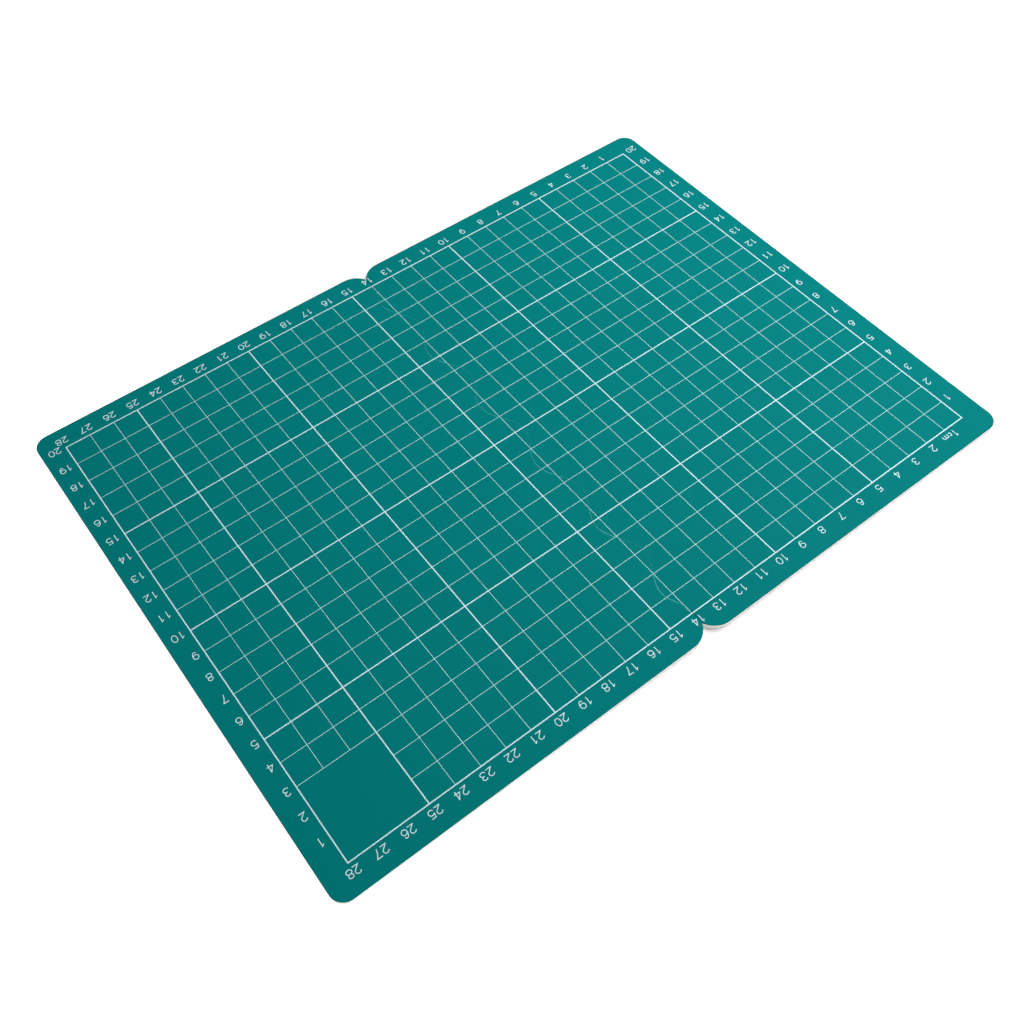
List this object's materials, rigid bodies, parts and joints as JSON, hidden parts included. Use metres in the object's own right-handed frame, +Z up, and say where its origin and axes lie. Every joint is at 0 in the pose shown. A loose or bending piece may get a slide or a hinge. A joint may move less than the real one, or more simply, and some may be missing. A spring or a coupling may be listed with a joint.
{
  "type": "self healing cutting mat",
  "caption": "Folding self healing cutting mat: two laminated panels with a printed centimetre grid meet along a wavy seam and fold back to back on a hinge film.",
  "frame": {"origin": "centre of the open mat's outline, on the surface that it lies on", "axes": "+X along the 28 columns of the grid, from the 1 cm end, +Y towards the top row of numerals, +Z up out of the printed face"},
  "size_m": [0.3, 0.22, 0.0025],
  "materials": {
    "green_skin": "teal-green flexible PVC with a fine matte grain",
    "white_core": "white rigid PVC, seen only at the edges",
    "white_backing": "off-white PVC backing, plain and matte",
    "hinge_film": "thin pale grey flexible film",
    "white_ink": "matte white screen print, thin enough for the green to tint it"
  },
  "bodies": {
    "left_panel": {"left_top_skin": "green_skin", "left_core": "white_core", "left_backing": "white_backing", "left_hinge_film": "hinge_film", "left_frame_print": "white_ink", "left_heavy_lines_print": "white_ink", "left_fine_lines_print": "white_ink", "left_numerals_print": "white_ink"},
    "right_panel": {"right_top_skin": "green_skin", "right_core": "white_core", "right_backing": "white_backing", "right_hinge_film": "hinge_film", "right_frame_print": "white_ink", "right_heavy_lines_print": "white_ink", "right_fine_lines_print": "white_ink", "right_numerals_print": "white_ink"}
  },
  "joints": [
    {"name": "fold", "type": "hinge", "parent": "left_panel", "child": "right_panel", "pos_m": [0, 0, -0.00005], "axis": [0, 1, 0], "range_deg": [0, 180]}
  ]
}
